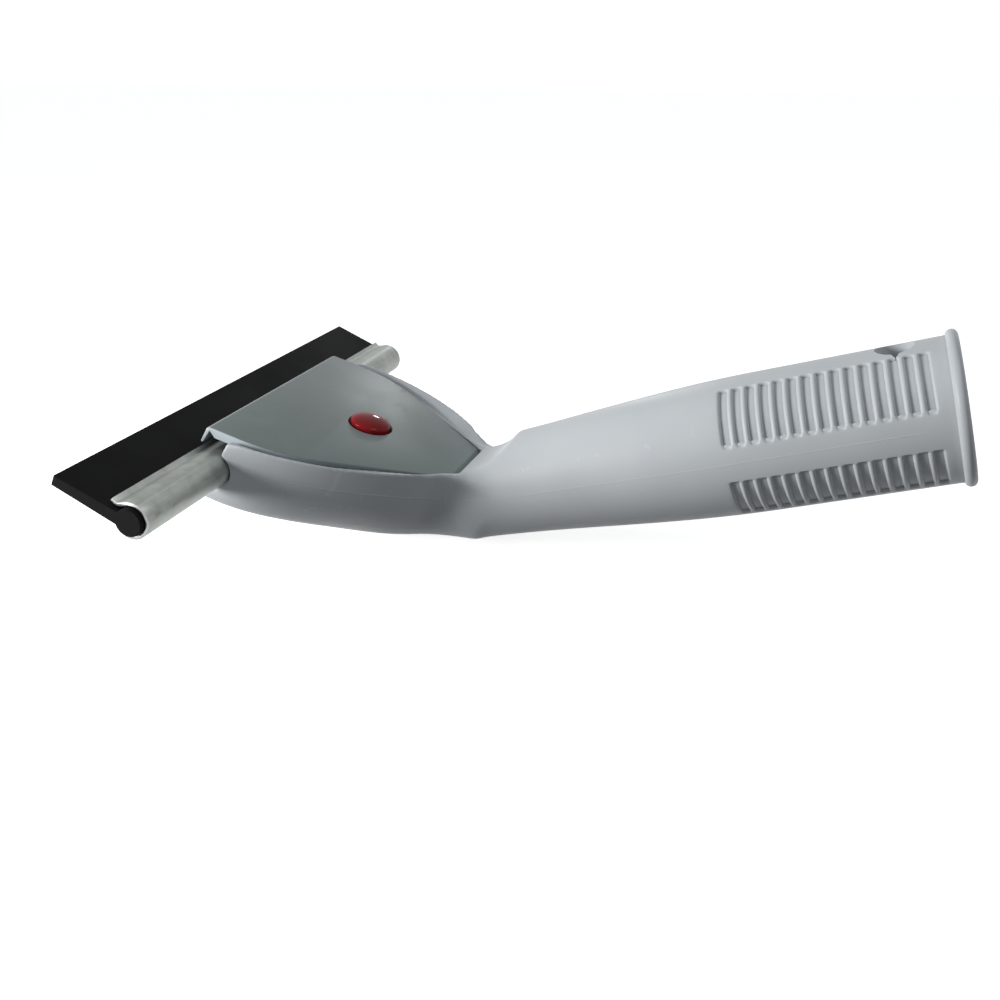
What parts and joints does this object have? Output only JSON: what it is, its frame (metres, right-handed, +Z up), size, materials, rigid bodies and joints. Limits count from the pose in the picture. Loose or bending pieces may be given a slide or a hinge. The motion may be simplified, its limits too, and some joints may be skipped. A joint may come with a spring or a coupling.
{
  "type": "window squeegee",
  "caption": "Hand squeegee with a quick release head: a clamp plate with a red button holds a steel channel and rubber blade on a hollow moulded handle.",
  "frame": {"origin": "middle of the bounding box's bottom face, with the squeegee lying on the flat keel of its belly as in the picture", "axes": "+X along the channel and rubber, +Y from the head to the handle's open end, +Z up"},
  "size_m": [0.1528, 0.2024, 0.066],
  "materials": {
    "light_grey_plastic": "satin",
    "grey_green_plastic": "satin",
    "red_plastic": "gloss",
    "black_rubber": "matt",
    "zinc_coated_steel": "zinc coated",
    "pin_steel": "plain",
    "spring_steel": "plain"
  },
  "bodies": {
    "handle": {"handle_body": "light_grey_plastic", "hinge_pin": "pin_steel", "return_spring": "spring_steel"},
    "plate": {"clamp_plate": "grey_green_plastic"},
    "button": {"release_button": "red_plastic", "retaining_washer": "spring_steel"},
    "channel": {"blade_channel": "zinc_coated_steel"},
    "rubber": {"rubber_blade": "black_rubber"}
  },
  "joints": [
    {"name": "plate_rock", "type": "hinge", "parent": "handle", "child": "plate", "pos_m": [0, -0.06966, 0.02733], "axis": [-1, 0, 0], "range_deg": [0, 5], "stiffness_Nm_per_rad": 0.1, "springref_deg": -17.76},
    {"name": "button_press", "type": "slide", "parent": "handle", "child": "button", "axis": [0, -0.2833, -0.959], "range_m": [0, 0.0012], "deforming": ["return_spring"]},
    {"name": "channel_slide", "type": "slide", "parent": "handle", "child": "channel", "axis": [1, 0, 0], "range_m": [-0.03, 0.03]},
    {"name": "rubber_slide", "type": "slide", "parent": "channel", "child": "rubber", "axis": [1, 0, 0], "range_m": [-0.06, 0.06]}
  ],
  "couplings": [
    {"joint": "button_press", "follows": "plate_rock", "m_per_rad": 0.013}
  ]
}
